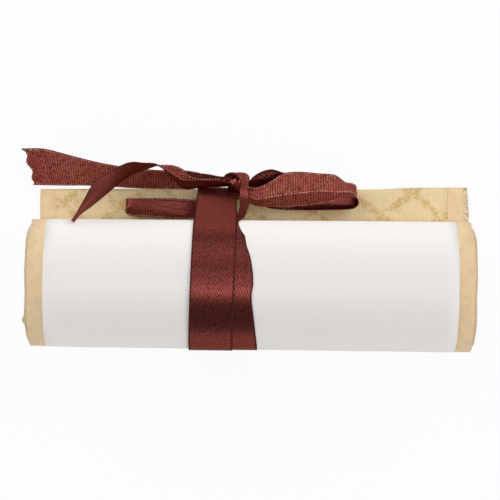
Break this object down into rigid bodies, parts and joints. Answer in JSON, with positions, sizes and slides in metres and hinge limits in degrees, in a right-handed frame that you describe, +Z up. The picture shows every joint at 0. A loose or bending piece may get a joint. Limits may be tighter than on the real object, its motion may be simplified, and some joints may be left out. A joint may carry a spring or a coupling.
{
  "type": "paper scroll",
  "caption": "Rolled paper scroll on its side, white outside and brocade inside, its loose end flat behind it and a satin ribbon tied round both in a bow.",
  "frame": {"origin": "on the table, under the roll's axis and the middle of the ribbon wrap that lies outermost", "axes": "+X runs along the roll, with the long ribbon tails towards -X; +Y points from the roll to its loose flap and the bow; +Z is up from the table"},
  "size_m": [0.2068, 0.0963, 0.0568],
  "materials": {
    "tan_paper": "matte tan craft paper, seen as a border at both side edges and on the rims of the roll",
    "white_paper": "smooth matte off-white paper",
    "brocade": "cream ribbed brocade with gold lines",
    "satin": "dark red-brown satin, glossy face, matte back with a fine woven edge"
  },
  "bodies": {
    "root": {"tan_backing": "tan_paper", "white_panel": "white_paper", "brocade_panel": "brocade", "ribbon": "satin"}
  },
  "joints": []
}
